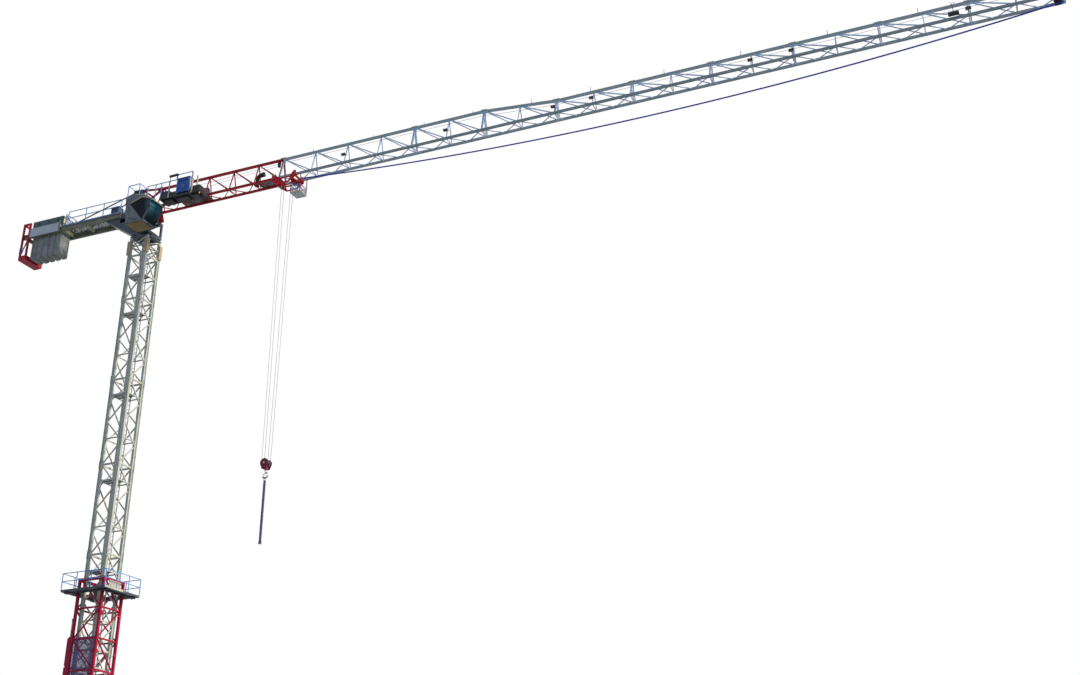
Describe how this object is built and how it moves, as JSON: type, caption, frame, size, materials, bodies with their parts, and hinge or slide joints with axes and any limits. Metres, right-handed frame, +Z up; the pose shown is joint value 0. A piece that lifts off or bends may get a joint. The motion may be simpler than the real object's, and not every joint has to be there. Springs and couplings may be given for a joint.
{
  "type": "half-size tower crane",
  "caption": "Tower crane without a mast top: lattice mast with a climbing cage, a turning lattice jib with trolley and hook, a cab and a counter-jib with slabs.",
  "frame": {"origin": "under the middle of the cross base, on its underside", "axes": "+X along the jib, +Y away from the cab, +Z up"},
  "size_m": [35.76, 2.7152, 25.88],
  "materials": {
    "mast_paint": "satin",
    "mast_head_paint": "satin",
    "galvanised": "satin",
    "machined_steel": "satin",
    "cage_paint": "satin",
    "rail_blue_paint": "satin",
    "frame_paint": "satin",
    "red_paint": "satin",
    "jib_paint": "satin",
    "girder_paint": "satin",
    "slab_concrete": "matte",
    "housing_paint": "satin",
    "panel_paint": "satin",
    "cab_paint": "satin",
    "cab_glass": "gloss",
    "cabinet_paint": "satin",
    "lamp_paint": "satin",
    "wire_rope": "satin"
  },
  "bodies": {
    "tower": {"cross_base": "mast_paint", "mast_side_near": "mast_paint", "mast_side_jib": "mast_paint", "mast_side_far": "mast_paint", "mast_side_rear": "mast_paint", "rest_platforms": "galvanised", "mast_ladder": "galvanised", "mast_boots": "mast_head_paint", "mast_head": "mast_paint", "slewing_ring": "machined_steel"},
    "upper": {"slewing_base": "mast_paint", "slewing_frame": "mast_paint", "counter_jib_bracket": "frame_paint", "root_gussets": "red_paint", "jib_root": "red_paint", "jib_section_1": "jib_paint", "jib_section_2": "jib_paint", "jib_section_3": "jib_paint", "jib_section_4": "jib_paint", "jib_section_5": "jib_paint", "jib_section_6": "jib_paint", "jib_section_7": "jib_paint", "jib_section_8": "jib_paint", "jib_section_9": "jib_paint", "jib_walkways": "galvanised", "counter_jib": "girder_paint", "counter_jib_deck": "galvanised", "counter_jib_railings": "girder_paint", "tie_bars": "girder_paint", "winch_guide_frame": "panel_paint", "counterweight_slabs": "slab_concrete", "winch_housing": "housing_paint", "side_panel": "panel_paint", "counterweight_end_frame": "red_paint", "cab_shell": "cab_paint", "cab_glass": "cab_glass", "cab_roof_rail": "cab_paint", "cabinet_tray": "cab_paint", "electric_cabinet": "cabinet_paint", "tray_railing": "girder_paint", "floodlights": "lamp_paint", "trolley_winch": "housing_paint", "trolley_ropes": "wire_rope"},
    "climbing_cage": {"cage_side_near": "cage_paint", "cage_side_jib": "cage_paint", "cage_side_far": "cage_paint", "cage_side_rear": "cage_paint", "cage_platform": "galvanised", "cage_railing": "rail_blue_paint", "climbing_ram_housing": "red_paint"},
    "trolley": {"trolley_frame": "red_paint", "trolley_wheels": "machined_steel", "trolley_sheaves": "machined_steel", "maintenance_basket": "red_paint", "hoist_falls": "wire_rope"},
    "block": {"hook_block": "red_paint", "hook_block_sheaves": "machined_steel"},
    "swivel_hook": {"hook": "machined_steel", "chain_sling": "machined_steel"}
  },
  "joints": [
    {"name": "slew", "type": "hinge", "parent": "tower", "child": "upper", "pos_m": [0, 0, 23.84], "axis": [0, 0, 1], "continuous": true},
    {"name": "climb", "type": "slide", "parent": "tower", "child": "climbing_cage", "axis": [0, 0, 1], "range_m": [-6.37, 11.35]},
    {"name": "trolley_travel", "type": "slide", "parent": "upper", "child": "trolley", "axis": [1, 0, 0], "range_m": [-3.875, 23.8], "deforming": ["trolley_ropes"]},
    {"name": "hoist", "type": "slide", "parent": "trolley", "child": "block", "axis": [0, 0, 1], "range_m": [-12.1, 8.8], "deforming": ["hoist_falls"]},
    {"name": "hook_swivel", "type": "hinge", "parent": "block", "child": "swivel_hook", "pos_m": [5.675, 0, 14.54], "axis": [0, 0, 1], "continuous": true}
  ]
}
